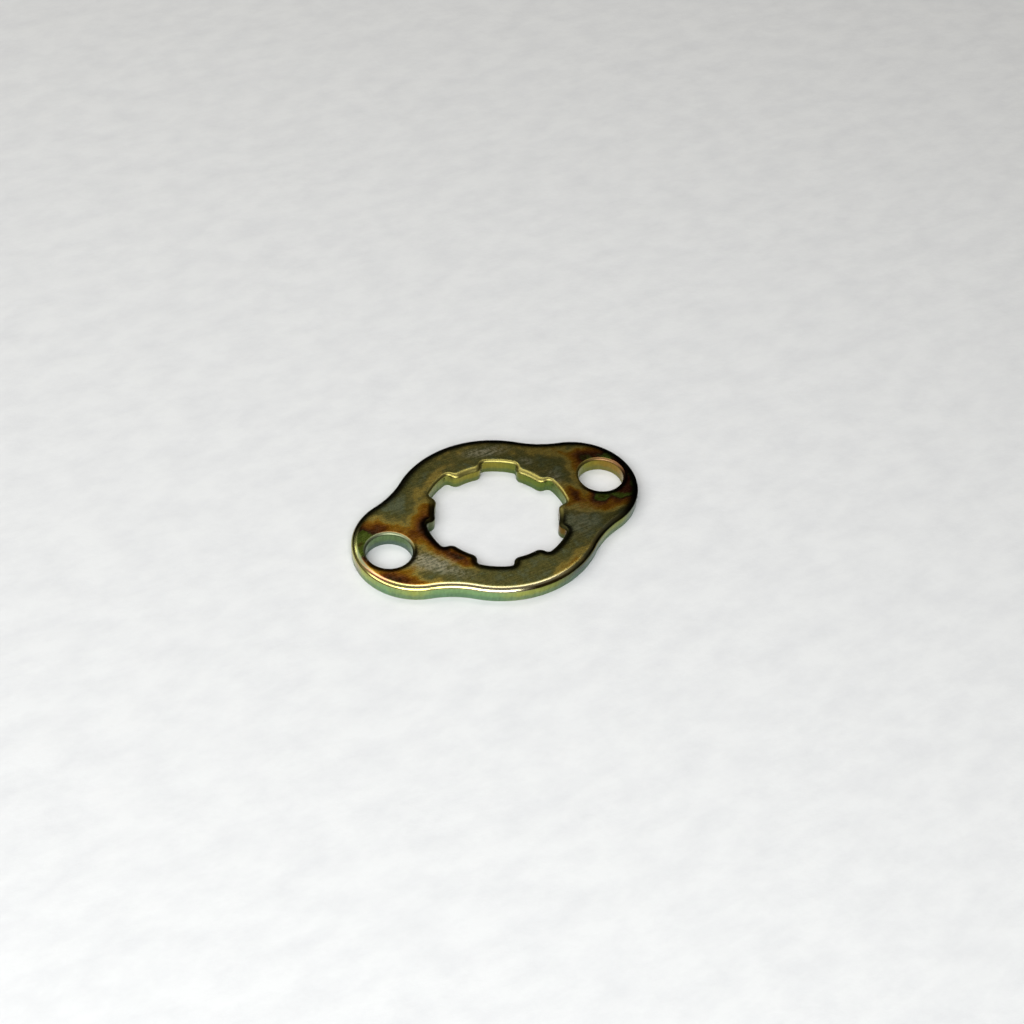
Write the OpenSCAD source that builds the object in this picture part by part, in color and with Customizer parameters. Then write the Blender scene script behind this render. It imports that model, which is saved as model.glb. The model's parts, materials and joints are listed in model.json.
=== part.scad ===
/* Sprocket washer: a flat steel plate, blanked in one stroke, that holds a chain
   sprocket on a splined shaft. Its toothed bore slides along the splines, the plate is
   turned by half a tooth in the shaft's groove, and two bolts tie it to the sprocket.
   Millimetres. The origin is the middle of the bore on the flat underside, +Z points out
   of the face that the punch rolled over, and X runs from bolt hole to bolt hole. */

/* [Plate] */
// Thickness of the sheet that the plate is cut from
plate_t = 2.2; // [1.8:0.1:3]
// Width of the ring left between the spline recesses and the round edge
rim_w = 4.7; // [3.5:0.1:6]
// Radius of the rounded end of each ear
ear_r = 9; // [8:0.1:11]
// How far the centre of that rounding lies inside the bolt's centre
ear_inset = 4.2; // [2:0.1:5]
// Radius of the hollow where the round middle runs out into an ear
neck_r = 13.8; // [10:0.1:17]

/* [Bolt holes] */
// Distance between the two bolts, centre to centre
bolt_spacing = 34; // [33:0.5:41]
// Clearance hole for the bolt
bolt_hole_d = 6.5; // [5.4:0.1:7.8]

/* [Spline bore] */
// Number of teeth, which is also the number of recesses between them
teeth = 6; // [5:1:7]
// Diameter across the bottoms of the recesses
major_d = 20.5; // [19:0.1:22]
// Diameter across the tips of the teeth
minor_d = 17.6; // [16.8:0.1:18.2]
// Width of a recess between its two parallel flanks
recess_w = 5.1; // [4.4:0.1:5.8]
// Radius that rounds the two corners of each tooth
tooth_tip_r = 1.1; // [0.8:0.05:1.3]
// Radius in the two corners at the bottom of each recess
recess_corner_r = 0.65; // [0.4:0.05:0.9]

/* [Rolled edges] */
// How far the roll reaches in from the outer edge of the top face
outer_roll_w = 0.85; // [0.5:0.05:1]
// How far the roll drops down the outer wall
outer_roll_h = 0.5; // [0.3:0.05:0.6]
// How far the roll reaches out from the teeth and recesses
spline_roll_w = 0.55; // [0.35:0.05:0.65]
// How far the roll drops down the spline's wall
spline_roll_h = 0.45; // [0.25:0.05:0.5]
// How far the roll reaches out from a bolt hole
bolt_roll_w = 0.3; // [0.2:0.05:0.5]
// How far the roll drops down a bolt hole's wall
bolt_roll_h = 0.3; // [0.2:0.05:0.5]
// Slope at which each roll leaves the flat top face, in degrees
roll_lip_a = 10; // [8:1:14]

/* [Hidden] */
$fn = 96;

// How far a cutter runs past the faces that it cuts through
over = 1;
// A blend's radius is this much over size, so that it crosses its neighbours and doesn't graze them
proud = 0.01;

major_r = major_d / 2;
minor_r = minor_d / 2;
disc_r = major_r + rim_w;
bolt_x = bolt_spacing / 2;
ear_x = bolt_x - ear_inset;

// The hollow touches the round middle and the ear, which places its centre
neck_to_disc = disc_r + neck_r;
neck_to_ear = ear_r + neck_r;
neck_x = (neck_to_disc ^ 2 - neck_to_ear ^ 2 + ear_x ^ 2) / (2 * ear_x);
neck_y = sqrt(neck_to_disc ^ 2 - neck_x ^ 2);

// A recess lies along +X: its corner roundings touch its flanks and the major circle,
// and the tooth corners touch its flanks and the minor circle
flank_y = recess_w / 2;
corner_y = flank_y - recess_corner_r;
corner_x = sqrt((major_r - recess_corner_r) ^ 2 - corner_y ^ 2);
tip_y = flank_y + tooth_tip_r;
tip_x = sqrt((minor_r + tooth_tip_r) ^ 2 - tip_y ^ 2);

plate_colour = [0.45, 0.41, 0.24];

// Section of the metal behind a rolled edge: the wall is at x, the metal lies from there back
// to the Y axis, and the roll is one arc that leaves the wall h below the top face and ends
// w behind it. past is how far the section runs on beyond both faces
module edge_section(x, w, h, past) {
    r = norm([w, h]) / (2 * sin(atan2(h, w) - roll_lip_a));
    centre_x = x - w - r * sin(roll_lip_a);
    centre_y = plate_t - r * cos(roll_lip_a);
    behind_x = (centre_x + x - w) / 2;
    intersection() {
        translate([0, -past])
            square([x, plate_t + 2 * past]);
        union() {
            translate([centre_x, centre_y])
                circle(r = r);
            translate([-over, -past - over])
                square([behind_x + over, plate_t + 2 * (past + over)]);
            translate([-over, -past - over])
                square([x + 2 * over, centre_y + past + over]);
        }
    }
}

// Metal: a round boss of radius r with its top edge rolled over
module rolled_disc(r, w, h, past = 0) {
    rotate_extrude()
        edge_section(r, w, h, past);
}

// Half of what a cut takes away, seen in section: all that lies in front of the wall at x
module cut_section(x, w, h) {
    reach = 2 * (w + over);
    difference() {
        translate([0, -over])
            square([x + w + over, plate_t + 2 * over]);
        translate([x + reach, 0])
            mirror([1, 0])
                edge_section(reach, w, h, 2 * over);
    }
}

// Cut: a round hole of radius r
module rolled_hole(r, w, h) {
    rotate_extrude()
        cut_section(r, w, h);
}

// The waist that joins an ear to the round middle, hollowed on both sides
module waist() {
    difference() {
        linear_extrude(plate_t)
            polygon([[0, 0], [neck_x, -neck_y], [ear_x, 0], [neck_x, neck_y]]);
        for (side = [-1, 1])
            translate([neck_x, side * neck_y, 0])
                rolled_hole(neck_r + proud, outer_roll_w, outer_roll_h);
    }
}

// The plate before its holes are punched
module blank() {
    rolled_disc(disc_r, outer_roll_w, outer_roll_h);
    for (side = [0, 1])
        mirror([side, 0, 0]) {
            translate([ear_x, 0, 0])
                rolled_disc(ear_r, outer_roll_w, outer_roll_h);
            waist();
        }
}

// Cut: the parallel flanks of one recess, from inside the bore to its corner roundings
module recess_flanks() {
    translate([minor_r / 2, 0, 0])
        rotate([90, 0, 90])
            linear_extrude(corner_x - minor_r / 2)
                for (side = [0, 1])
                    mirror([side, 0])
                        cut_section(flank_y, spline_roll_w, spline_roll_h);
}

// Cut: the bottom of one recess, on the major circle between the two corner roundings
module recess_bottom() {
    far = disc_r / corner_x;
    intersection() {
        rolled_hole(major_r, spline_roll_w, spline_roll_h);
        translate([0, 0, -2 * over])
            linear_extrude(plate_t + 4 * over)
                polygon([[0, 0], [corner_x * far, -corner_y * far], [corner_x * far, corner_y * far]]);
    }
    for (side = [-1, 1])
        translate([corner_x, side * corner_y, 0])
            rolled_hole(recess_corner_r + proud, spline_roll_w, spline_roll_h);
}

// Cut: what rounds off the corner of the tooth beside the recess
module tooth_corner() {
    inside = (minor_r - over) / (minor_r + tooth_tip_r);
    difference() {
        translate([0, 0, -over])
            linear_extrude(plate_t + 2 * over)
                polygon([
                    [tip_x, tip_y],
                    [tip_x * inside, tip_y * inside],
                    [tip_x * inside, flank_y - over],
                    [tip_x, flank_y - over],
                ]);
        translate([tip_x, tip_y, 0])
            rolled_disc(tooth_tip_r + proud, spline_roll_w, spline_roll_h, 2 * over);
    }
}

// Cut: one recess of the spline, lying along +X
module recess() {
    recess_flanks();
    recess_bottom();
    for (side = [0, 1])
        mirror([0, side, 0])
            tooth_corner();
}

// The plate with its round bore and its bolt holes
module punched() {
    difference() {
        blank();
        rolled_hole(minor_r, spline_roll_w, spline_roll_h);
        for (side = [-1, 1])
            translate([side * bolt_x, 0, 0])
                rolled_hole(bolt_hole_d / 2, bolt_roll_w, bolt_roll_h);
    }
}

// The plate with the first n recesses cut, one after another. The last faces an ear
module splined(n) {
    if (n == 0)
        punched();
    else
        difference() {
            splined(n - 1);
            rotate([0, 0, n * 360 / teeth])
                recess();
        }
}

module sprocket_washer() {
    color(plate_colour)
        splined(teeth);
}

sprocket_washer();
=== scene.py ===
"""Looks of the sprocket washer: a blanked steel plate, zinc plated and yellow chromated."""
import json
import math
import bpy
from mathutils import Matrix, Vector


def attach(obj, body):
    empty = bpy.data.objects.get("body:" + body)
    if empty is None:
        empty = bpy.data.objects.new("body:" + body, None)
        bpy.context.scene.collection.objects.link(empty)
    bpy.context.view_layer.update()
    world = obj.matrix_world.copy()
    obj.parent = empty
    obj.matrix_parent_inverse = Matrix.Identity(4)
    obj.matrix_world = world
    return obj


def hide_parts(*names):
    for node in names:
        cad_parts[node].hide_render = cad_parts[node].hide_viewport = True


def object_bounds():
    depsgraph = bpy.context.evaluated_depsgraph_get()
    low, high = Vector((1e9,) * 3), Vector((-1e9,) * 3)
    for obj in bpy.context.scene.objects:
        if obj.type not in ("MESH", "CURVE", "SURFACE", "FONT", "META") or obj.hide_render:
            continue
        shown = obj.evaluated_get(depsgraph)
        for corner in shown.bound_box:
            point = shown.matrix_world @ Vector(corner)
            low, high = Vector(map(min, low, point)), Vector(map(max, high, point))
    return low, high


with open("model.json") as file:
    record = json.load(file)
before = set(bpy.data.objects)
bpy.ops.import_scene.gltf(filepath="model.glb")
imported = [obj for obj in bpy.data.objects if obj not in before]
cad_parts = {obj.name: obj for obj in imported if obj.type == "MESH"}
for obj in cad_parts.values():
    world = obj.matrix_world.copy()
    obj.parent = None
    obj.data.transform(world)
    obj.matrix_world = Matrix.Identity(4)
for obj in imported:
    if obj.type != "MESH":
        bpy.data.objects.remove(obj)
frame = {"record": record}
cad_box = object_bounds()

from types import SimpleNamespace

import bmesh
import bpy
from bpy.props import FloatProperty, FloatVectorProperty, PointerProperty
from mathutils import Matrix, Vector, geometry, kdtree, noise

bl_info = {
    "name": "Sprocket washer",
    "version": (1, 0, 0),
    "blender": (4, 5, 0),
    "location": "3D View > Sidebar > Washer",
    "description": "Builds a blanked sprocket washer with rolled edges, and the table it lies on",
    "category": "Add Mesh",
}

NODE = "sprocket_washer"
MM = 0.001
CAD_SIZE = cad_box[1] - cad_box[0]
MOUNTS = {mount["name"]: mount for mount in frame["record"]["mounts"]}
BOLT_DIMS = MOUNTS["bolt_holes"]["dims"]
EAR_R = 9 * MM
TEETH = 6
# The kinds of edge: round the outside, round the bore and round a bolt hole
EDGES = ("rim", "bore", "bolt")
# Corners nearer to each other than this, in m, are the same corner
TOUCH = 1e-6


# Properties

def length(name, description, default):
    """A size that the user may change, in metres."""
    return FloatProperty(
        name=name, description=description, default=default, min=0.0, precision=5,
        subtype="DISTANCE", unit="LENGTH",
    )


def angle(name, description, degrees):
    """An angle that the user may change."""
    return FloatProperty(name=name, description=description, default=math.radians(degrees), subtype="ANGLE")


def linear(code):
    """Linear red, green, blue and alpha of an sRGB hex value such as 8A7F5C."""
    values = [int(code[i:i + 2], 16) / 255 for i in (0, 2, 4)]
    return [v / 12.92 if v <= 0.04045 else ((v + 0.055) / 1.055) ** 2.4 for v in values] + [1.0]


def colour(name, description, code):
    """A colour that the user may change."""
    return FloatVectorProperty(
        name=name, description=description, default=linear(code), size=4, min=0.0, max=1.0, subtype="COLOR",
    )


class WasherSizes(bpy.types.PropertyGroup):
    """Sizes of the plate"""

    thickness: length("Thickness", "Thickness of the sheet", CAD_SIZE.z)
    disc_r: length("Middle radius", "Radius of the round middle", CAD_SIZE.y / 2)
    ear_r: length("Ear radius", "Radius of the rounded end of an ear", EAR_R)
    ear_x: length("Ear centre", "Distance of that rounding's centre from the middle", CAD_SIZE.x / 2 - EAR_R)
    neck_r: length("Neck radius", "Radius of the hollow beside an ear", 13.8 * MM)
    bolt_spacing: length("Bolt spacing", "Distance between the bolt holes", BOLT_DIMS["spacing_x_mm"] * MM)
    bolt_hole_d: length("Bolt hole", "Diameter of a bolt hole", 2 * BOLT_DIMS["hole_r_mm"] * MM)
    major_d: length("Major diameter", "Diameter across the bottoms of the recesses", 20.5 * MM)
    minor_d: length("Minor diameter", "Diameter across the tips of the teeth", 17.6 * MM)
    recess_w: length("Recess width", "Width of a recess between its flanks", 5.1 * MM)
    tooth_tip_r: length("Tooth corner", "Radius of the two corners of a tooth", 1.1 * MM)
    recess_corner_r: length("Recess corner", "Radius in the corners of a recess", 0.65 * MM)
    outer_roll_w: length("Outer roll reach", "How far the roll reaches in from the outer edge", 1.04 * MM)
    outer_roll_h: length(
        "Outer roll drop", "How far the roll drops on the near side, where it is deepest", 0.62 * MM)
    tooth_roll_w: length(
        "Tooth roll reach", "How far the roll reaches out from the tip of a tooth", 0.98 * MM)
    slot_roll_w: length("Recess roll reach", "How far the roll reaches out from a recess", 0.5 * MM)
    bore_roll_h: length(
        "Bore roll drop", "How far the roll drops on the bore's far side, where it is deepest", 0.55 * MM)
    bolt_roll_w: length(
        "Bolt roll reach", "How far the roll reaches out from a bolt hole, where it is deepest", 0.5 * MM)
    bolt_roll_h: length(
        "Bolt roll drop", "How far the roll drops down a bolt hole's wall, where it is deepest", 0.33 * MM)
    uneven: FloatProperty(
        name="Uneven roll", description="Share of the drop that is lost on the shallow side",
        default=0.42, min=0.0, max=0.9, subtype="FACTOR",
    )
    tear_h: length(
        "Torn band", "Height of the rough band that the punch tore, at the foot of each wall", 0.75 * MM)
    tear_in: length("Torn band set-back", "How far the torn band stands back at its foot", 0.05 * MM)
    pitch: length("Facet", "Longest facet along an edge", 0.26 * MM)


class WasherFinish(bpy.types.PropertyGroup):
    """Colours of the chromate film"""

    grey: colour("Grey", "Thinnest film, far from any edge", "818B68")
    olive: colour("Olive", "Slightly thicker film", "76763F")
    dull_gold: colour("Dull gold", "Film where the olive warms", "8C8446")
    gold: colour("Gold", "Bright line where the olive turns to orange", "BCA750")
    amber: colour("Amber", "Film inside that line", "B6861A")
    chestnut: colour("Chestnut", "Film near the ears and the bore", "A0670C")
    russet: colour("Russet", "Thick film near the ears and the bore", "78400C")
    char: colour("Char", "Thicker still, nearly black", "3E1E0A")
    moss: colour("Moss", "Second order of the film", "5E7420")
    umber: colour("Umber", "Thickest film", "521F0A")
    rubbed: colour("Rubbed", "Film thinned by tumbling and handling", "CFCBAA")
    # Cream, lemon, bark, salmon and pear are partly painted highlight: pale in the highlights' colours where
    # the lamps' highlights fall on the outer roll's near left, and bark is dark where none falls
    cream: colour("Cream", "Film on the outer rolled edge", "D2CAA0")
    lemon: colour("Lemon", "Film on the steep part of that edge at the left", "C6BE70")
    bark: colour("Bark", "Film on the steep part of that edge from the middle to the right", "4A3C1C")
    salmon: colour("Salmon", "Film on the rolled edge of the left ear", "F2B084")
    pear: colour("Pear", "Film on the rolled edge either side of the salmon", "D4D888")
    bore_lip: colour("Bore lip", "Film on the rolled edge of the bore", "989050")
    right_lip: colour("Right lip", "Film on the rolled edge of the right bolt hole", "7E743A")
    # Rose paints the pink tint of the highlight at the right end of the right bolt hole's roll
    rose: colour("Rose", "Film at the right end of that edge", "866644")
    left_lip: colour("Left lip", "Film on the rolled edge of the left bolt hole", "848E70")
    sand: colour("Sand", "Wall at the end of the left ear", "B09A88")
    leaf: colour("Leaf", "Wall on the left, sheared", "8EB078")
    lime: colour("Lime", "Wall near the left neck", "AEB45E")
    olive_wall: colour("Olive wall", "Wall in the middle", "88904A")
    slate: colour("Slate", "Wall on the right", "5C685A")
    torn: colour("Torn band", "Film on the torn foot of the outer wall", "70907A")
    torn_bore: colour("Torn bore", "Film on the torn foot of the bore's wall", "5C7850")
    mist: colour("Mist", "Bore wall at the far left", "646C4C")
    straw: colour("Straw", "Bore wall in the middle", "928A38")
    grass: colour("Grass", "Bore wall at the far right", "6C7C34")
    copper: colour("Copper", "Bore wall on the near side", "70561E")
    brass: colour("Brass", "Wall of the right bolt hole", "888832")
    bronze: colour("Bronze", "Right end of that wall", "987C36")
    sea: colour("Sea green", "Wall of the left bolt hole", "6A8056")
    torn_left: colour("Torn left hole", "Film on the torn foot of the left bolt hole's wall", "68787A")
    torn_right: colour("Torn right hole", "Film on the torn foot of the right bolt hole's wall", "7C8450")


class WasherStage(bpy.types.PropertyGroup):
    """The table, the room and the camera"""

    paper: colour("Paper", "Colour of the table", "D9DBDB")
    paper_shade: colour("Paper, shade", "Colour of the clouds in it", "D1D3D4")
    room_low: colour("Room, dark", "Colour of the room where it is dark", "0C0B0B")
    room_high: colour("Room, dim", "Colour of the room overhead", "7A7672")
    distance: length("Camera distance", "From the point that the camera looks at", 282.28 * MM)
    azimuth: angle("Azimuth", "Camera's angle round the plate", -32.06)
    elevation: angle("Elevation", "Camera's angle above the table", 45.59)
    roll: angle("Roll", "Camera's turn about its own axis", 4.29)
    lens: FloatProperty(
        name="Lens", description="Focal length on a 36 mm sensor", default=69.67, unit="CAMERA",
    )


# Outlines

def arc(bm, tip, centre, sweep, pitch):
    """Spins the loose end of a chain of edges round a centre, in at least six facets, and returns the
    new end."""
    steps = max(6, math.ceil(abs(sweep) * (tip.co - centre).length / pitch))
    made = bmesh.ops.spin(
        bm, geom=[tip], cent=centre, axis=(0, 0, 1), dvec=(0, 0, 0), angle=sweep, steps=steps,
        use_merge=math.isclose(sweep, 2 * math.pi),
    )
    return next(g for g in made["geom_last"] if isinstance(g, bmesh.types.BMVert))


def straight(bm, tip, end, pitch):
    """Draws the loose end of a chain of edges along a line and returns the new end."""
    begin = tip.co.copy()
    steps = max(2, math.ceil((end - begin).length / pitch))
    for i in range(steps):
        tip = bmesh.ops.extrude_vert_indiv(bm, verts=[tip])["verts"][0]
        tip.co = begin.lerp(end, (i + 1) / steps)
    return tip


def start(bm, x):
    """The vertices that are there so far, and the first one of a new chain."""
    return set(bm.verts), bm.verts.new((x, 0, 0))


def closed(bm, others, layers, metal_side, centre):
    """Joins the ends of the newest chain, and notes on each vertex its foot and the way into the metal.
    Returns the outline's vertices in order, counter-clockwise round its centre."""
    foot, inward = layers
    bmesh.ops.remove_doubles(bm, verts=[v for v in bm.verts if v not in others], dist=TOUCH)
    chain = [v for v in bm.verts if v not in others]
    loop = chain[:1]
    edge, other_way = loop[0].link_edges
    ahead = edge.other_vert(loop[0]).co - loop[0].co
    if (loop[0].co - centre).cross(ahead).z < 0:
        edge = other_way
    while len(loop) < len(chain):
        loop.append(edge.other_vert(loop[-1]))
        edge = next(e for e in loop[-1].link_edges if e is not edge)
    for before, vert, after in zip(loop[-1:] + loop[:-1], loop, loop[1:] + loop[:1]):
        along = ((vert.co - before.co).normalized() + (after.co - vert.co).normalized()).normalized()
        vert[foot] = vert.co
        vert[inward] = Vector((-along.y, along.x, 0)) * metal_side
    return loop


def outer_outline(bm, layers, size):
    """Round middle, two ears and the four hollow necks between them."""
    middle_r, ear_r, ear_x, neck_r, pitch = size.disc_r, size.ear_r, size.ear_x, size.neck_r, size.pitch
    to_middle, to_ear = middle_r + neck_r, ear_r + neck_r
    neck_x = (to_middle ** 2 - to_ear ** 2 + ear_x ** 2) / (2 * ear_x)
    neck_y = math.sqrt(to_middle ** 2 - neck_x ** 2)
    ear_turn = math.atan2(neck_y, neck_x - ear_x)
    middle_turn = math.atan2(neck_y, neck_x)
    others, tip = start(bm, ear_x + ear_r)
    middle = Vector((0, 0, 0))
    for side in (1, -1):
        ear = Vector((side * ear_x, 0, 0))
        neck_in = Vector((side * neck_x, side * neck_y, 0))
        neck_out = Vector((-side * neck_x, side * neck_y, 0))
        tip = arc(bm, tip, ear, ear_turn, pitch)
        tip = arc(bm, tip, neck_in, middle_turn - ear_turn, pitch)
        tip = arc(bm, tip, middle, math.pi - 2 * middle_turn, pitch)
        tip = arc(bm, tip, neck_out, middle_turn - ear_turn, pitch)
        tip = arc(bm, tip, -ear, ear_turn, pitch)
    return closed(bm, others, layers, 1, middle)


def spline_outline(bm, layers, size):
    """Recesses and teeth of the bore, with every corner rounded."""
    major_r, minor_r, flank = size.major_d / 2, size.minor_d / 2, size.recess_w / 2
    corner_y = flank - size.recess_corner_r
    corner_x = math.sqrt((major_r - size.recess_corner_r) ** 2 - corner_y ** 2)
    tip_y = flank + size.tooth_tip_r
    tip_x = math.sqrt((minor_r + size.tooth_tip_r) ** 2 - tip_y ** 2)
    bottom_turn = math.atan2(corner_y, corner_x)
    tip_turn = math.atan2(tip_y, tip_x)
    corner_sweep, tip_sweep = math.pi / 2 - bottom_turn, tip_turn - math.pi / 2
    # The corners are small, so the facets are finer than round the rim
    pitch, middle = size.pitch * 0.6, Vector((0, 0, 0))
    others, tip = start(bm, major_r)
    for tooth in range(TEETH):
        here, there = (Matrix.Rotation(2 * math.pi * n / TEETH, 4, "Z") for n in (tooth, tooth + 1))
        tip = arc(bm, tip, middle, bottom_turn, pitch)
        tip = arc(bm, tip, here @ Vector((corner_x, corner_y, 0)), corner_sweep, pitch)
        tip = straight(bm, tip, here @ Vector((tip_x, flank, 0)), pitch)
        tip = arc(bm, tip, here @ Vector((tip_x, tip_y, 0)), tip_sweep, pitch)
        tip = arc(bm, tip, middle, 2 * math.pi / TEETH - 2 * tip_turn, pitch)
        tip = arc(bm, tip, there @ Vector((tip_x, -tip_y, 0)), tip_sweep, pitch)
        tip = straight(bm, tip, there @ Vector((corner_x, -flank, 0)), pitch)
        tip = arc(bm, tip, there @ Vector((corner_x, -corner_y, 0)), corner_sweep, pitch)
        tip = arc(bm, tip, middle, bottom_turn, pitch)
    return closed(bm, others, layers, -1, middle)


def hole_outline(bm, layers, size, side):
    """One round bolt hole."""
    centre = Vector((side * size.bolt_spacing / 2, 0, 0))
    others, tip = start(bm, centre.x + size.bolt_hole_d / 2)
    arc(bm, tip, centre, 2 * math.pi, size.pitch)
    return closed(bm, others, layers, -1, centre)


# Plate

def smoothstep(share):
    """A share from 0 to 1 with its ends eased."""
    share = min(1.0, max(0.0, share))
    return share * share * (3 - 2 * share)


# How far it is across the plate from a roll's shallow side to its deep side, and for each kind of edge the
# way to the deep side. Round the small bolt holes the roll changes three times as fast
TURN_OVER = 14 * MM
DEEP_WAY = {"rim": (-0.45, -0.9), "bore": (0.0, 1.0), "bolt": (1.5, 2.6)}


def uneven_rolls(size):
    """For each kind of edge, a function that gives how far the roll reaches and drops at a place on it.
    The punch stood a little off centre in its die, so a roll is deep on one side and shallow on the other."""

    def depth(name, x, y):
        side = DEEP_WAY[name][0] * x + DEEP_WAY[name][1] * y
        return 1 - size.uneven * smoothstep(0.5 - side / TURN_OVER)

    def rim(spot):
        return size.outer_roll_w, size.outer_roll_h * depth("rim", spot.x, spot.y)

    def bore(spot):
        tooth_h = (size.major_d - size.minor_d) / 2
        on_tooth = smoothstep(1 - (spot.length - size.minor_d / 2) / tooth_h)
        reach = size.slot_roll_w + (size.tooth_roll_w - size.slot_roll_w) * on_tooth
        # In a recess the roll drops four fifths as far as on a tooth
        return reach, size.bore_roll_h * depth("bore", spot.x, spot.y) * (0.8 + 0.2 * on_tooth)

    def bolt(spot):
        centre_x = math.copysign(size.bolt_spacing / 2, spot.x)
        deep = depth("bolt", spot.x - centre_x, spot.y)
        return size.bolt_roll_w * deep, size.bolt_roll_h * deep

    return {"rim": rim, "bore": bore, "bolt": bolt}


# The rounding at the foot of a wall, and the strip of flat face beside a wall that keeps its shading flat
BURR = 0.03 * MM
GUARD = 0.12 * MM
# Grain of the torn band, and how far it stands out
GRIT = 0.28 * MM
GRIT_DEPTH = 0.02 * MM


def edge_section(size, roll_w, roll_h):
    """Section of a blanked wall from the underside up: pairs of set-back into the metal and height."""
    tear, set_back, top = size.tear_h, size.tear_in, size.thickness
    foot = [
        (set_back + GUARD, 0), (set_back + BURR, 0), (set_back + BURR * 0.3, BURR * 0.3), (set_back, BURR),
    ]
    torn = [(set_back * (1 - h), BURR + (tear - BURR) * h) for h in (0.15, 0.3, 0.45, 0.6, 0.75, 0.88, 0.96)]
    sheared = [(0, tear + (top - roll_h - tear) * h) for h in (0.0, 0.33, 0.66)]
    turns = [math.radians(a) for a in range(0, 91, 9)]
    rolled = [(roll_w * (1 - math.cos(a)), top - roll_h * (1 - math.sin(a))) for a in turns]
    return foot + torn + sheared + rolled + [(roll_w + GUARD, top)]


def wall(bm, loop, layers, size, roll):
    """Extrudes an outline along the section of a blanked edge, whose roll may differ from place to place.
    Returns the edges of its lowest and highest rings."""
    foot, inward = layers
    edges = lowest = list({e for v in loop for e in v.link_edges})
    ring = loop
    for step in range(len(edge_section(size, *roll(loop[0][foot])))):
        if step:
            made = bmesh.ops.extrude_edge_only(bm, edges=edges)["geom"]
            ring = [g for g in made if isinstance(g, bmesh.types.BMVert)]
            kept = set(ring)
            edges = [g for g in made if isinstance(g, bmesh.types.BMEdge) and kept.issuperset(g.verts)]
        for vert in ring:
            set_back, height = edge_section(size, *roll(vert[foot]))[step]
            if BURR < height < size.tear_h:
                set_back += GRIT_DEPTH * noise.noise(Vector((vert[foot].x, vert[foot].y, height / 2)) / GRIT)
            vert.co = vert[foot] + vert[inward] * set_back + Vector((0, 0, height))
    return lowest, edges


def ruled(bm, faces, reach, pitch):
    """Cuts flat faces along a grid, so that their corners can carry their distance from each edge."""
    # The grid is shifted off the middle, where it would graze the corners of the outlines
    shift = 0.37
    for axis, span in enumerate(reach):
        cuts = int(span / pitch)
        for i in range(-cuts, cuts + 1):
            place, normal = Vector((0, 0, 0)), Vector((0, 0, 0))
            place[axis], normal[axis] = (i + shift) * pitch, 1
            geom = {g for f in faces for g in (f, *f.edges, *f.verts)}
            cut = bmesh.ops.bisect_plane(bm, geom=list(geom), dist=2 * TOUCH, plane_co=place, plane_no=normal)
            faces = [g for g in cut["geom"] if isinstance(g, bmesh.types.BMFace)]


def distance_to(outlines):
    """A function that gives a point's distance in plan from the nearest of some closed outlines, in mm."""
    points, ahead = [], []
    for outline in outlines:
        base = len(points)
        points += outline
        ahead += [base + (i + 1) % len(outline) for i in range(len(outline))]
    back = {b: a for a, b in enumerate(ahead)}
    tree = kdtree.KDTree(len(points))
    for i, point in enumerate(points):
        tree.insert(point, i)
    tree.balance()

    def distance(place):
        flat = Vector((place.x, place.y, 0))
        _, near, _ = tree.find(flat)
        best = math.inf
        for a, b in ((back[near], near), (near, ahead[near])):
            _, share = geometry.intersect_point_line(flat, points[a], points[b])
            spot = points[a].lerp(points[b], min(1, max(0, share)))
            best = min(best, (spot - flat).length)
        return best / MM

    return distance


def build_plate(size):
    """Mesh of the whole plate, with the distance to the rim, the bore and the bolt holes on each vertex."""
    bm = bmesh.new()
    layers = bm.verts.layers.float_vector.new("foot"), bm.verts.layers.float_vector.new("inward")
    outlines = {
        "rim": [outer_outline(bm, layers, size)],
        "bore": [spline_outline(bm, layers, size)],
        "bolt": [hole_outline(bm, layers, size, side) for side in (-1, 1)],
    }
    measures = {
        name: distance_to([[v.co.copy() for v in loop] for loop in loops]) for name, loops in outlines.items()
    }
    rolls = uneven_rolls(size)
    under, over = [], []
    for name, loops in outlines.items():
        for loop in loops:
            lowest, highest = wall(bm, loop, layers, size, rolls[name])
            under += lowest
            over += highest

    # Faces, ruled more finely on top, where the film's pattern shows
    reach = (CAD_SIZE.x / 2, CAD_SIZE.y / 2)
    for edges, up, pitch in ((over, 1, 0.45 * MM), (under, -1, 0.7 * MM)):
        made = bmesh.ops.triangle_fill(bm, edges=edges, use_beauty=True, normal=(0, 0, up))["geom"]
        ruled(bm, [g for g in made if isinstance(g, bmesh.types.BMFace)], reach, pitch)
    bmesh.ops.recalc_face_normals(bm, faces=bm.faces)

    notes = {name: bm.verts.layers.float.new(name) for name in EDGES}
    for vert in bm.verts:
        for name, layer in notes.items():
            vert[layer] = measures[name](vert.co)
    for layer in layers:
        bm.verts.layers.float_vector.remove(layer)
    for face in bm.faces:
        face.smooth = True
    mesh = bpy.data.meshes.new("sprocket_washer_plate")
    bm.to_mesh(mesh)
    bm.free()
    return mesh


# Materials

def node(tree, kind, settings=None, out=0, stops=(), **inputs):
    """Adds a node with its settings, sets or links its inputs, and returns one of its outputs.
    An input is named as on the node, with _ for a space, or _0, _1 and so on by its place.
    The stops of a colour ramp are pairs of place and colour."""
    made = tree.nodes.new(kind)
    for name, value in (settings or {}).items():
        setattr(made, name, value)
    # A new ramp has two stops already
    for _ in stops[2:]:
        made.color_ramp.elements.new(0.5)
    for i, (place, tint) in enumerate(stops):
        made.color_ramp.elements[i].position = place
        made.color_ramp.elements[i].color = tint
    for name, value in inputs.items():
        socket = made.inputs[int(name[1:])] if name[0] == "_" else made.inputs[name.replace("_", " ")]
        if isinstance(value, bpy.types.NodeSocket):
            tree.links.new(value, socket)
        else:
            socket.default_value = value
    return made.outputs[out]


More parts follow.
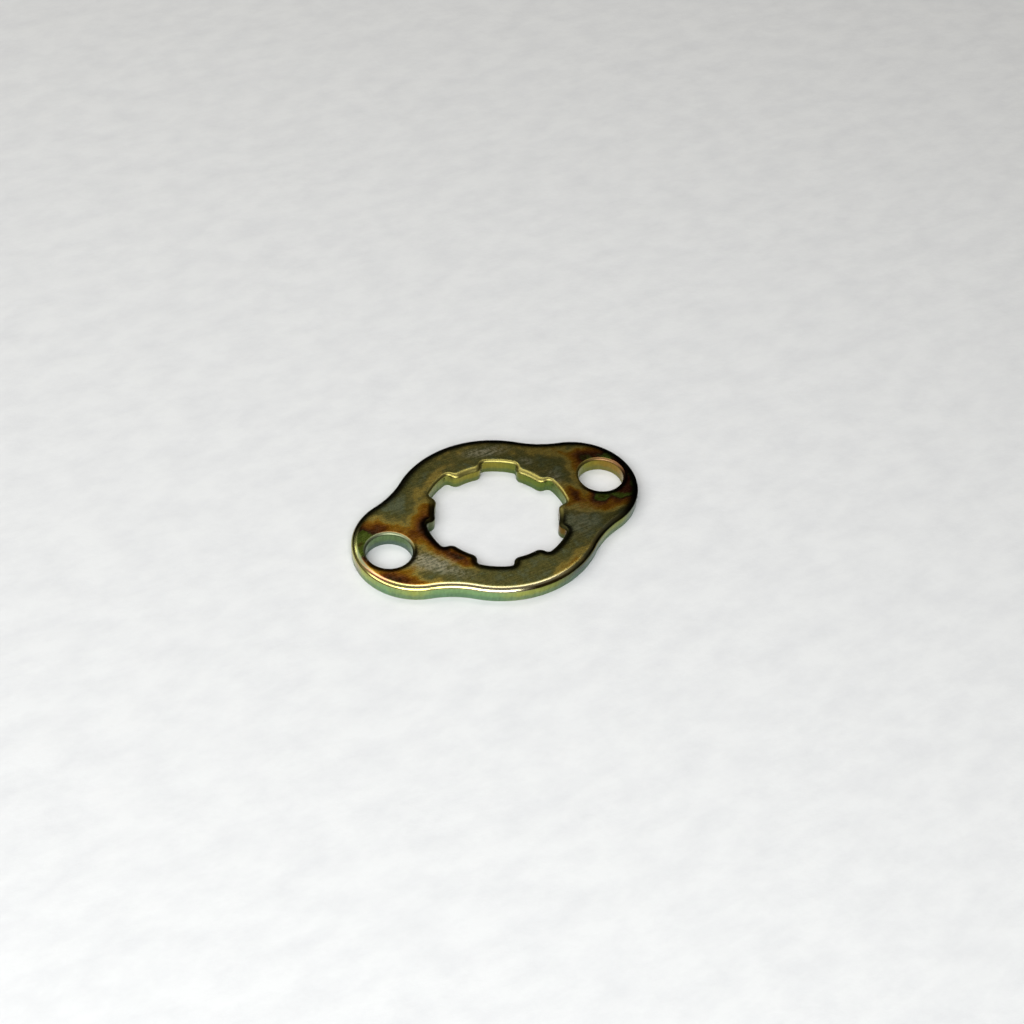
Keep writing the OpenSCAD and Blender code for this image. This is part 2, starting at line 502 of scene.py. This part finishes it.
SMOOTH = {"interpolation_type": "SMOOTHSTEP"}
COLOURS = {"data_type": "RGBA"}
DARKEN = {"data_type": "RGBA", "blend_type": "MULTIPLY"}
MULTIPLY, ADD, ADD_TO, SUBTRACT = (
    {"operation": kind} for kind in ("MULTIPLY", "ADD", "MULTIPLY_ADD", "SUBTRACT"))
GREATEST, ABSOLUTE, LENGTH, DOT = (
    {"operation": kind} for kind in ("MAXIMUM", "ABSOLUTE", "LENGTH", "DOT_PRODUCT"))
FALL = {"To_Min": 1.0, "To_Max": 0.0}
# The distances within which a point is on the roll or the wall of an edge, in mm
ON_EDGE = {"From_Min": 1.0, "From_Max": 1.4, **FALL}
# The plate's two ends, rounded outwards, in mm
SPAN = (-22.0, 22.0)
# Where nearly all of a noise's values lie
NOISE_SPAN = {"From_Min": 0.3, "From_Max": 0.7}
# Noise with fine grain in it, and noise with only wide patches, 2 mm apart
FINE = {"Detail": 4.0, "Roughness": 0.6}
WIDE = {"Scale": 0.5, "Detail": 1.0, "Roughness": 0.5}


def readings(tree):
    """What the steel's pattern goes by: the place and its coordinates in mm, how level the surface is
    (1 on the flat faces, 0 on the walls), and the distance in plan from each kind of edge in mm."""
    metres = node(tree, "ShaderNodeTexCoord", out="Object")
    place = node(tree, "ShaderNodeMapping", Vector=metres, Scale=(1 / MM, 1 / MM, 1 / MM))
    x, y, z = node(tree, "ShaderNodeSeparateXYZ", Vector=place).node.outputs
    normal = node(tree, "ShaderNodeNewGeometry", out="Normal")
    level = node(tree, "ShaderNodeSeparateXYZ", Vector=normal, out="Z")
    level = node(tree, "ShaderNodeMath", ABSOLUTE, _0=level)
    distance = {
        name: node(tree, "ShaderNodeAttribute", {"attribute_name": name}, out="Fac") for name in EDGES
    }
    return SimpleNamespace(place=place, x=x, y=y, z=z, level=level, distance=distance)


def colours_along(tree, way, low, high, table):
    """Turns a coordinate into the colours of a table of places and colours, all between low and high."""
    share = node(tree, "ShaderNodeMapRange", Value=way, From_Min=low, From_Max=high)
    stops = [((place - low) / (high - low), tint) for place, tint in table]
    return node(tree, "ShaderNodeValToRGB", Fac=share, stops=stops)


def by_edge(tree, at, rim, bore, bolt):
    """Picks a number or a colour by the kind of edge that a point is on."""
    chosen = rim
    for name, other in (("bore", bore), ("bolt", bolt)):
        here = node(tree, "ShaderNodeMapRange", Value=at.distance[name], **ON_EDGE)
        if isinstance(other, float):
            chosen = node(tree, "ShaderNodeMix", _0=here, _2=chosen, _3=other)
        else:
            chosen = node(tree, "ShaderNodeMix", COLOURS, out=2, _0=here, _6=chosen, _7=other)
    return chosen


def patch(tree, place, centre, reach, turn):
    """A soft oval on the flat faces, 1 in its middle and 0 at one and a half times its half-axes."""
    # So tall that the height of a place makes no difference
    tall = 1000.0
    spot = node(
        tree, "ShaderNodeMapping", {"vector_type": "TEXTURE"}, Vector=place,
        Location=(*centre, 0.0), Rotation=(0.0, 0.0, math.radians(turn)), Scale=(*reach, tall),
    )
    away = node(tree, "ShaderNodeVectorMath", LENGTH, out="Value", _0=spot)
    return node(tree, "ShaderNodeMapRange", SMOOTH, Value=away, From_Min=0.0, From_Max=1.5, **FALL)


def spots(tree, place, table):
    """The sum of soft ovals, each with its own strength."""
    total = None
    for centre, reach, turn, strength in table:
        one = patch(tree, place, centre, reach, turn)
        one = node(tree, "ShaderNodeMath", MULTIPLY, _0=one, _1=strength)
        total = node(tree, "ShaderNodeMath", ADD, _0=total, _1=one) if total else one
    return total


# Where the film is thicker or thinner than its distance from the edges explains: centre and half-axes
# in mm, turn in degrees, and how much thicker
THICK_SPOTS = (
    ((-12.6, 7.4), (3.0, 2.0), 40, -0.10),
    ((10.0, -6.2), (3.4, 2.4), 30, -0.10),
    ((-12.9, -4.4), (3.0, 2.0), -42, -0.10),
    ((12.0, 3.2), (1.4, 1.6), 0, -0.10),
    ((-21.4, 3.4), (7.0, 4.6), 0, 0.72),
    ((-13.5, 1.2), (1.2, 2.4), 0, 0.22),
    ((-20.6, -6.4), (5.4, 3.8), 0, 0.64),
    ((-14.9, -7.6), (2.8, 0.9), -28, 0.20),
    ((-5.2, 9.8), (5.0, 0.9), 28, 0.20),
    ((-8.8, -5.8), (1.5, 3.2), 40, 0.46),
    ((13.4, 7.4), (4.4, 1.5), -40, 0.24),
    ((12.0, -2.6), (1.2, 2.4), 0, 0.20),
    ((13.8, -5.8), (3.4, 1.1), -12, 0.30),
    ((14.2, -3.8), (1.7, 1.5), 0, 0.47),
    ((18.8, -4.2), (2.6, 2.0), 30, 0.42),
    ((20.4, 0.6), (1.2, 4.0), 0, 0.38),
    ((4.8, -12.8), (5.6, 1.0), 22, 0.26),
    ((1.0, 13.4), (7.0, 0.9), 0, 0.10),
    ((8.5, 10.0), (4.0, 1.4), -38, 0.12),
)
# Where it lies thick beside the bore: the same, for the film at the bore's very edge
BORE_SPOTS = (
    ((-10.0, 1.0), (4.6, 6.6), 0, 0.61),
    ((11.5, -2.4), (2.4, 4.0), 0, 0.46),
)
# Where it was rubbed thin in handling: the same, and how much shows
RUBBED_SPOTS = (
    ((-13.1, -4.3), (3.5, 1.6), -42, 1.5),
    ((-10.6, -7.6), (2.6, 1.1), -42, 0.5),
    ((9.6, -6.6), (3.6, 2.6), 35, 0.3),
    ((4.2, 11.5), (3.2, 1.0), -14, 1.1),
    ((8.6, 7.2), (1.0, 0.8), -35, 0.6),
    ((10.8, 2.6), (1.0, 1.6), 0, 0.6),
)
# Painted shade beside each kind of edge, for the dark room that a roll reflects where it tilts away from the
# camera: the way along which it gets darker, from where to where on that way, and the distances from the edge
# between which the dark fades, all in mm
PAINTED_EDGE_SHADE = {
    "rim": ((0.35, 0.9, 0), (-6.0, 0.0), (0.6, 1.65)),
    "bore": ((-0.55, -0.85, 0), (-3.5, 0.5), (0.65, 1.4)),
    "bolt": ((0, -1, 0), (-1.0, 1.5), (0.5, 1.0)),
}


def film_thickness(tree, at):
    """How thick the chromate film lies on the flat faces, from 0 to 1: it builds up round the right bolt
    hole and beside the bore towards the ears."""
    # The spots' outlines wander by a few tenths of a millimetre
    wander = node(tree, "ShaderNodeTexNoise", out=1, Vector=at.place, **WIDE)
    wander = node(tree, "ShaderNodeVectorMath", ADD_TO, _0=wander, _1=(2.0, 2.0, 2.0), _2=at.place)
    wander = node(tree, "ShaderNodeVectorMath", ADD, _0=wander, _1=(-1.0, -1.0, -1.0))
    drift = node(tree, "ShaderNodeTexNoise", Vector=at.place, **WIDE)
    drift = node(tree, "ShaderNodeMapRange", Value=drift, **NOISE_SPAN, To_Min=-0.4, To_Max=0.4)

    most = node(
        tree, "ShaderNodeMapRange", SMOOTH, Value=at.x, From_Min=12.0, From_Max=17.0,
        To_Min=0.12, To_Max=0.60,
    )
    ring = node(tree, "ShaderNodeMath", ADD, _0=drift, _1=at.distance["bolt"])
    ring = node(
        tree, "ShaderNodeMapRange", SMOOTH, Value=ring, From_Min=0.2, From_Max=4.6, To_Min=most, To_Max=0.0)
    most = spots(tree, wander, BORE_SPOTS)
    bore = node(tree, "ShaderNodeMath", ADD, _0=drift, _1=at.distance["bore"])
    bore = node(
        tree, "ShaderNodeMapRange", SMOOTH, Value=bore, From_Min=0.8, From_Max=4.2, To_Min=most, To_Max=0.0)
    total = node(tree, "ShaderNodeMath", GREATEST, _0=ring, _1=bore)
    total = node(tree, "ShaderNodeMath", ADD, _0=total, _1=spots(tree, wander, THICK_SPOTS))
    mottle = node(tree, "ShaderNodeTexNoise", Vector=at.place, Scale=0.8, **FINE)
    mottle = node(tree, "ShaderNodeMapRange", Value=mottle, **NOISE_SPAN, To_Min=0.01, To_Max=0.15)
    return node(tree, "ShaderNodeMath", ADD, _0=total, _1=mottle)


def painted_edge_shade(tree, at):
    """Painted shade beside the edges: the share of the film's colour that is left, darkened nearly to black
    along the shallow sides of the rolls, which tilt away from the camera and reflect the dark room.
    """
    darkest, total = 0.94, None
    for name, (way, (low, high), (near, far)) in PAINTED_EDGE_SHADE.items():
        along = node(tree, "ShaderNodeVectorMath", DOT, out="Value", _0=at.place, _1=way)
        most = node(
            tree, "ShaderNodeMapRange", SMOOTH, Value=along, From_Min=low, From_Max=high,
            To_Min=0.0, To_Max=darkest,
        )
        here = node(
            tree, "ShaderNodeMapRange", SMOOTH, Value=at.distance[name], From_Min=near, From_Max=far,
            To_Min=most, To_Max=0.0,
        )
        total = node(tree, "ShaderNodeMath", GREATEST, _0=total, _1=here) if total else here
    return node(tree, "ShaderNodeMath", SUBTRACT, _0=1.0, _1=total)


def brushing(tree, at):
    """Fine lines that tumbling left, with flecks among them. The lines are 0.05 mm apart, and drawn at
    0.2 mm so that they show."""
    lines = node(
        tree, "ShaderNodeMapping", Vector=at.place, Rotation=(0, 0, math.radians(-38)), Scale=(0.3, 4.5, 1.0))
    grain = node(tree, "ShaderNodeTexNoise", Vector=lines, Scale=1.0, **FINE)
    fleck = node(tree, "ShaderNodeTexNoise", Vector=at.place, Scale=2.2, **FINE)
    return node(tree, "ShaderNodeMix", _0=0.5, _2=grain, _3=fleck)


def face_colours(tree, at, brushed, shade, finish):
    """The film on the flat faces by its thickness, with pale streaks where it was rubbed, and with painted
    shade:
    darker to the right, where less light falls, and darker beside the edges."""
    face = node(tree, "ShaderNodeValToRGB", Fac=film_thickness(tree, at), stops=[
        (0.00, finish.grey), (0.08, finish.olive), (0.16, finish.dull_gold), (0.23, finish.gold),
        (0.29, finish.gold), (0.37, finish.amber), (0.47, finish.chestnut), (0.57, finish.russet),
        (0.67, finish.char), (0.76, finish.moss), (0.86, finish.moss), (0.96, finish.umber),
    ])
    streak = node(tree, "ShaderNodeMapRange", SMOOTH, Value=brushed, From_Min=0.36, From_Max=0.62)
    everywhere = 0.06
    amount = node(tree, "ShaderNodeMath", ADD, _0=spots(tree, at.place, RUBBED_SPOTS), _1=everywhere)
    streak = node(tree, "ShaderNodeMath", {**MULTIPLY, "use_clamp": True}, _0=streak, _1=amount)
    face = node(tree, "ShaderNodeMix", COLOURS, out=2, _0=streak, _6=face, _7=finish.rubbed)
    # Painted shade: the faces darken to the right, and by the painted shade beside the edges
    painted_shading = node(
        tree, "ShaderNodeMapRange", SMOOTH, Value=at.x, From_Min=2.0, From_Max=11.0, To_Min=0.97, To_Max=0.73)
    painted_shading = node(tree, "ShaderNodeMath", MULTIPLY, _0=painted_shading, _1=shade)
    return node(tree, "ShaderNodeMix", DARKEN, out=2, _0=1.0, _6=face, _7=painted_shading)


def lip_colours(tree, at, shade, finish):
    """The film on the rolled edges, olive and grey-green round the bore and the bolt holes. Round the outer
    edge it is partly painted highlight: pale in the highlights' colours on the near left, the deep side,
    where the lamps' highlights fall, and dark from the middle to the right, where none falls.
    Rose paints the tint of the right bolt hole's highlight. Also returns how much of it shows."""
    # Painted highlight: pear, salmon and cream, the colours of the upper highlight line on the left ear and
    # the near side
    on_ear = node(tree, "ShaderNodeMapRange", SMOOTH, Value=at.x, From_Min=-15.0, From_Max=-12.0, **FALL)
    crease = colours_along(tree, at.y, 1.0, -9.0, [
        (1.0, finish.pear), (-1.0, finish.salmon), (-4.5, finish.salmon), (-6.2, finish.pear),
        (-7.8, finish.cream),
    ])
    crease = node(tree, "ShaderNodeMix", COLOURS, out=2, _0=on_ear, _6=finish.cream, _7=crease)
    # Painted highlight and shade on the steep part: lemon and cream where the lower highlight line falls, and
    # bark from the middle to the right, where none falls
    steep = colours_along(tree, at.x, *SPAN, [
        (-12.98, finish.lemon), (-7.04, finish.cream), (-4.4, finish.cream), (-1.98, finish.bark),
    ])
    is_steep = node(tree, "ShaderNodeMapRange", SMOOTH, Value=at.level, From_Min=0.82, From_Max=0.94, **FALL)
    lip = node(tree, "ShaderNodeMix", COLOURS, out=2, _0=is_steep, _6=crease, _7=steep)
    # Rose at the right end paints the pink tint of that hole's highlight
    bolt_lip = colours_along(tree, at.x, *SPAN, [
        (-4.4, finish.left_lip), (4.4, finish.right_lip), (16.28, finish.right_lip), (18.48, finish.rose),
    ])
    lip = by_edge(tree, at, lip, finish.bore_lip, bolt_lip)

    # Less lip colour shows under the painted shade beside the edges, and on the outer roll towards the right,
    # where no highlight falls
    shown = node(
        tree, "ShaderNodeMapRange", SMOOTH, Value=at.level, From_Min=0.98, From_Max=0.9985,
        To_Min=0.95, To_Max=0.0,
    )
    shown = node(tree, "ShaderNodeMath", MULTIPLY, _0=shown, _1=shade)
    painted_highlight_side = node(
        tree, "ShaderNodeMapRange", SMOOTH, Value=at.x, From_Min=1.0, From_Max=5.5, To_Min=1.0, To_Max=0.2)
    on_rim = node(tree, "ShaderNodeMapRange", Value=at.distance["rim"], **ON_EDGE)
    painted_highlight_side = node(tree, "ShaderNodeMix", _0=on_rim, _2=1.0, _3=painted_highlight_side)
    shown = node(tree, "ShaderNodeMath", MULTIPLY, _0=shown, _1=painted_highlight_side)
    return lip, shown


def drag_lines(tree, at):
    """Lines that the punch dragged down the walls. They are 0.05 mm apart, and drawn at 0.3 mm so that
    they show."""
    lines = node(tree, "ShaderNodeMapping", Vector=at.place, Scale=(3.2, 3.2, 0.6))
    return node(tree, "ShaderNodeTexNoise", Vector=lines, Scale=1.0, **FINE)


def torn_foot(tree, at):
    """Where a wall is torn: about its lowest 0.8 mm, with a ragged upper limit."""
    blotch = node(tree, "ShaderNodeTexNoise", Vector=at.place, Scale=1.1, Detail=4.0)
    ragged = node(tree, "ShaderNodeMath", ADD_TO, _0=blotch, _1=-0.9, _2=at.z)
    return node(tree, "ShaderNodeMapRange", SMOOTH, Value=ragged, From_Min=0.0, From_Max=0.8, **FALL)


def wall_colours(tree, at, torn, lines, finish):
    """The pale film on the walls: leaf green on the left turning to slate on the right, straw and grass in
    the bore, duller where the sheet tore."""
    # The zones' limits wander by half a millimetre, and on the near side they lie further left
    shift = node(tree, "ShaderNodeTexNoise", Vector=at.place, Scale=0.5, **FINE)
    shift = node(tree, "ShaderNodeMapRange", Value=shift, **NOISE_SPAN, To_Min=-0.5, To_Max=0.5)
    shift = node(tree, "ShaderNodeMath", ADD, _0=at.x, _1=shift)
    turned = node(tree, "ShaderNodeMapRange", Value=at.y, From_Min=-3.0, From_Max=0.5, To_Min=1.3, To_Max=0.0)
    shift = node(tree, "ShaderNodeMath", ADD, _0=shift, _1=turned)
    rim = colours_along(tree, shift, *SPAN, [
        (-21.78, finish.sand), (-21.12, finish.lime), (-18.92, finish.leaf), (-15.84, finish.lime),
        (-13.2, finish.leaf), (-6.16, finish.leaf), (-3.08, finish.lime), (2.2, finish.olive_wall),
        (5.72, finish.slate), (10.56, finish.slate), (13.2, finish.olive_wall), (16.72, finish.olive_wall),
        (19.36, finish.slate),
    ])
    bore = colours_along(tree, shift, -10.0, 10.0, [
        (-9.0, finish.mist), (-4.8, finish.olive_wall), (0.0, finish.straw), (4.8, finish.straw),
        (8.0, finish.grass),
    ])
    near = node(tree, "ShaderNodeMapRange", SMOOTH, Value=at.y, From_Min=-3.5, From_Max=-1.5, **FALL)
    bore = node(tree, "ShaderNodeMix", COLOURS, out=2, _0=near, _6=bore, _7=finish.copper)
    bolt = colours_along(tree, at.x, *SPAN, [
        (-4.4, finish.sea), (4.4, finish.brass), (16.28, finish.brass), (19.36, finish.bronze),
    ])
    side = by_edge(tree, at, rim, bore, bolt)
    torn_bolt = colours_along(tree, at.x, *SPAN, [(-4.4, finish.torn_left), (4.4, finish.torn_right)])
    tint = by_edge(tree, at, finish.torn, finish.torn_bore, torn_bolt)
    foot = node(tree, "ShaderNodeMix", COLOURS, out=2, _0=0.62, _6=side, _7=tint)
    side = node(tree, "ShaderNodeMix", COLOURS, out=2, _0=torn, _6=side, _7=foot)
    shade = node(tree, "ShaderNodeMapRange", Value=lines, **NOISE_SPAN, To_Min=0.8, To_Max=1.12)
    return node(tree, "ShaderNodeMix", DARKEN, out=2, _0=1.0, _6=side, _7=shade)


def chromated_steel(finish):
    """Blanked mild steel, zinc plated and dipped in yellow chromate: a metal sheen under a film whose
    colour turns with its thickness, from grey and olive through orange to russet and moss. Its colour also
    carries painted shade beside the edges and towards the right, and painted highlight tints on the outer
    roll."""
    material = bpy.data.materials.new("yellow_chromated_steel")
    material.use_nodes = True
    tree = material.node_tree
    shader = tree.nodes["Principled BSDF"]
    shader.inputs["Metallic"].default_value = 1.0
    at = readings(tree)
    brushed, lines = brushing(tree, at), drag_lines(tree, at)
    # shade is the painted shade beside the edges
    torn, shade = torn_foot(tree, at), painted_edge_shade(tree, at)
    is_wall = node(tree, "ShaderNodeMapRange", SMOOTH, Value=at.level, From_Min=0.15, From_Max=0.6, **FALL)

    face = face_colours(tree, at, brushed, shade, finish)
    lip, shown = lip_colours(tree, at, shade, finish)
    tint = node(tree, "ShaderNodeMix", COLOURS, out=2, _0=shown, _6=face, _7=lip)
    side = wall_colours(tree, at, torn, lines, finish)
    tint = node(tree, "ShaderNodeMix", COLOURS, out=2, _0=is_wall, _6=tint, _7=side)
    tree.links.new(tint, shader.inputs["Base Color"])

    # Gloss: bright on the rolled edges and the sheared wall, hazy where it is torn or brushed
    haze = node(tree, "ShaderNodeMapRange", Value=brushed, **NOISE_SPAN, To_Min=0.22, To_Max=0.32)
    is_face = node(tree, "ShaderNodeMapRange", SMOOTH, Value=at.level, From_Min=0.96, From_Max=0.999)
    haze = node(tree, "ShaderNodeMix", _0=is_face, _2=by_edge(tree, at, 0.17, 0.38, 0.42), _3=haze)
    wall_haze = node(tree, "ShaderNodeMapRange", Value=torn, To_Min=0.22, To_Max=0.42)
    haze = node(tree, "ShaderNodeMix", _0=is_wall, _2=haze, _3=wall_haze)
    tree.links.new(haze, shader.inputs["Roughness"])

    # Relief in mm: brushed lines on the faces, drag lines down the sheared wall, grit on the torn one
    grit = node(tree, "ShaderNodeTexNoise", Vector=at.place, Scale=5.0, **FINE)
    foot = node(tree, "ShaderNodeMix", _0=torn, _2=lines, _3=grit)
    relief = node(tree, "ShaderNodeMix", _0=is_wall, _2=brushed, _3=foot)
    depth = node(
        tree, "ShaderNodeMapRange", SMOOTH, Value=at.level, From_Min=0.98, From_Max=0.999,
        To_Min=0.0008, To_Max=0.006,
    )
    depth = node(tree, "ShaderNodeMix", _0=is_wall, _2=depth, _3=0.02)
    relief = node(tree, "ShaderNodeMath", MULTIPLY, _0=relief, _1=depth)
    bump = node(tree, "ShaderNodeBump", Height=relief, Distance=MM, Strength=1.0)
    tree.links.new(bump, shader.inputs["Normal"])
    return material


def white_paper(look):
    """Uncoated white paper, pressed and slightly rubbed: dull, with faint clouds of fibre in it."""
    material = bpy.data.materials.new("white_paper")
    material.use_nodes = True
    tree = material.node_tree
    shader = tree.nodes["Principled BSDF"]
    shader.inputs["Roughness"].default_value = 0.85
    metres = node(tree, "ShaderNodeTexCoord", out="Object")
    place = node(tree, "ShaderNodeMapping", Vector=metres, Scale=(1 / MM, 1.6 / MM, 1 / MM))
    # Clouds about 6 mm across, 0.12 mm high
    clouds = node(tree, "ShaderNodeTexNoise", Vector=place, Scale=0.16, Detail=5.0, Roughness=0.62)
    tint = node(tree, "ShaderNodeValToRGB", Fac=clouds, stops=[(0.3, look.paper_shade), (0.62, look.paper)])
    tree.links.new(tint, shader.inputs["Base Color"])
    bump = node(tree, "ShaderNodeBump", Height=clouds, Distance=0.12 * MM, Strength=1.0)
    tree.links.new(bump, shader.inputs["Normal"])
    return material


# Stage

# The point that the camera looks at, and that the lights face
AIM = Vector((2.99, 0.90, 0)) * MM
# Half the width of the table, in m
TABLE_HALF = 2.0
# The way in which the room is brighter: overhead and to the left
BRIGHT_WAY = (-0.45, -0.22, 0.87)
WHITE, WARM_WHITE = "FCFDFF", "FFFAF2"
# Soft windows and tubes: name, way to it, distance in m, way along its long side, long and short side in m,
# power in W and colour
LIGHTS = (
    ("front_window", (-0.37, -0.58, 0.70), 0.42, (0.9, -0.42, 0), (0.294, 0.244), 1.62, WHITE),
    ("left_window", (-0.72, -0.06, 0.69), 0.55, (0.1, -1.0, 0), (0.42, 0.22), 1.0, WHITE),
    ("back_window", (-0.087, 0.54, 0.838), 0.8, (0.467, -0.352, 0.298), (0.56, 0.25), 1.35, WARM_WHITE),
    ("ceiling_tube", (0.26, 0.27, 0.927), 0.8, (0.31, -0.09, -0.07), (0.28, 0.2), 0.56, WARM_WHITE),
)


def lay_table(scene, look):
    """A wide sheet of white paper under the plate."""
    bm = bmesh.new()
    bmesh.ops.create_grid(bm, x_segments=1, y_segments=1, size=TABLE_HALF)
    mesh = bpy.data.meshes.new("table")
    bm.to_mesh(mesh)
    bm.free()
    mesh.materials.append(white_paper(look))
    table = bpy.data.objects.new("table", mesh)
    scene.collection.objects.link(table)


def dim_room(look):
    """A world that is dim overhead and on the left, and dark behind and on the right."""
    world = bpy.data.worlds.new("dim_room")
    world.use_nodes = True
    tree = world.node_tree
    way = node(tree, "ShaderNodeTexCoord", out="Generated")
    lean = node(tree, "ShaderNodeVectorMath", DOT, out="Value", _0=way, _1=BRIGHT_WAY)
    room = node(tree, "ShaderNodeValToRGB", Fac=lean, stops=[(0.1, look.room_low), (0.5, look.room_high)])
    tree.links.new(room, tree.nodes["Background"].inputs["Color"])
    return world


def set_camera(scene, look):
    """The camera, at the photograph's angle."""
    turn, lift = look.azimuth, look.elevation
    back = Vector((math.sin(turn) * math.cos(lift), -math.cos(turn) * math.cos(lift), math.sin(lift)))
    upright = back.to_track_quat("Z", "Y").to_matrix() @ Matrix.Rotation(look.roll, 3, "Z")
    camera = bpy.data.objects.new("camera", bpy.data.cameras.new("camera"))
    camera.data.lens = look.lens
    camera.data.sensor_width = 36.0
    camera.data.clip_start = 0.01
    camera.matrix_world = Matrix.Translation(AIM + back * look.distance) @ upright.to_4x4()
    scene.collection.objects.link(camera)
    scene.camera = camera


def area_light(scene, name, way, distance, along, size, power, tint):
    """A soft rectangular light that faces the plate; along is the way its long side runs."""
    light = bpy.data.lights.new(name, "AREA")
    light.shape = "RECTANGLE"
    light.size, light.size_y = size
    light.energy = power
    light.color = linear(tint)[:3]
    out = Vector(way).normalized()
    across = out.cross(Vector(along)).normalized()
    lamp = bpy.data.objects.new(name, light)
    lamp.matrix_world = Matrix((across.cross(out), across, out)).transposed().to_4x4()
    lamp.location = AIM + out * distance
    lamp.visible_camera = False
    scene.collection.objects.link(lamp)


# Operators

class WASHER_OT_plate(bpy.types.Operator):
    """Make the plate and let it stand for the plain one"""

    bl_idname = "washer.plate"
    bl_label = "Make the plate"

    def execute(self, context):
        mesh = build_plate(context.scene.washer_sizes)
        mesh.materials.append(chromated_steel(context.scene.washer_finish))
        plate = bpy.data.objects.new("sprocket_washer_plate", mesh)
        context.scene.collection.objects.link(plate)
        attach(plate, "root")
        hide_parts(NODE)
        return {"FINISHED"}


class WASHER_OT_stage(bpy.types.Operator):
    """Lay the table, hang the lights and set up the camera"""

    bl_idname = "washer.stage"
    bl_label = "Set the stage"

    def execute(self, context):
        scene, look = context.scene, context.scene.washer_stage
        lay_table(scene, look)
        scene.world = dim_room(look)
        set_camera(scene, look)
        for light in LIGHTS:
            area_light(scene, *light)
        scene.view_settings.view_transform = "Standard"
        return {"FINISHED"}


class WASHER_PT_panel(bpy.types.Panel):
    """Sizes, colours and the buttons that build the washer"""

    bl_idname = "WASHER_PT_panel"
    bl_label = "Sprocket washer"
    bl_space_type = "VIEW_3D"
    bl_region_type = "UI"
    bl_category = "Washer"

    def draw(self, context):
        for group in (context.scene.washer_sizes, context.scene.washer_finish, context.scene.washer_stage):
            box = self.layout.box()
            for name in group.__annotations__:
                box.prop(group, name)
        for operator in OPERATORS:
            self.layout.operator(operator.bl_idname)


OPERATORS = (WASHER_OT_plate, WASHER_OT_stage)
CLASSES = (WasherSizes, WasherFinish, WasherStage, *OPERATORS, WASHER_PT_panel)


def register():
    for cls in CLASSES:
        bpy.utils.register_class(cls)
    bpy.types.Scene.washer_sizes = PointerProperty(type=WasherSizes)
    bpy.types.Scene.washer_finish = PointerProperty(type=WasherFinish)
    bpy.types.Scene.washer_stage = PointerProperty(type=WasherStage)


def unregister():
    del bpy.types.Scene.washer_stage, bpy.types.Scene.washer_finish, bpy.types.Scene.washer_sizes
    for cls in reversed(CLASSES):
        bpy.utils.unregister_class(cls)


def main():
    register()
    bpy.ops.washer.plate()
    bpy.ops.washer.stage()


if __name__ == "__main__":
    main()
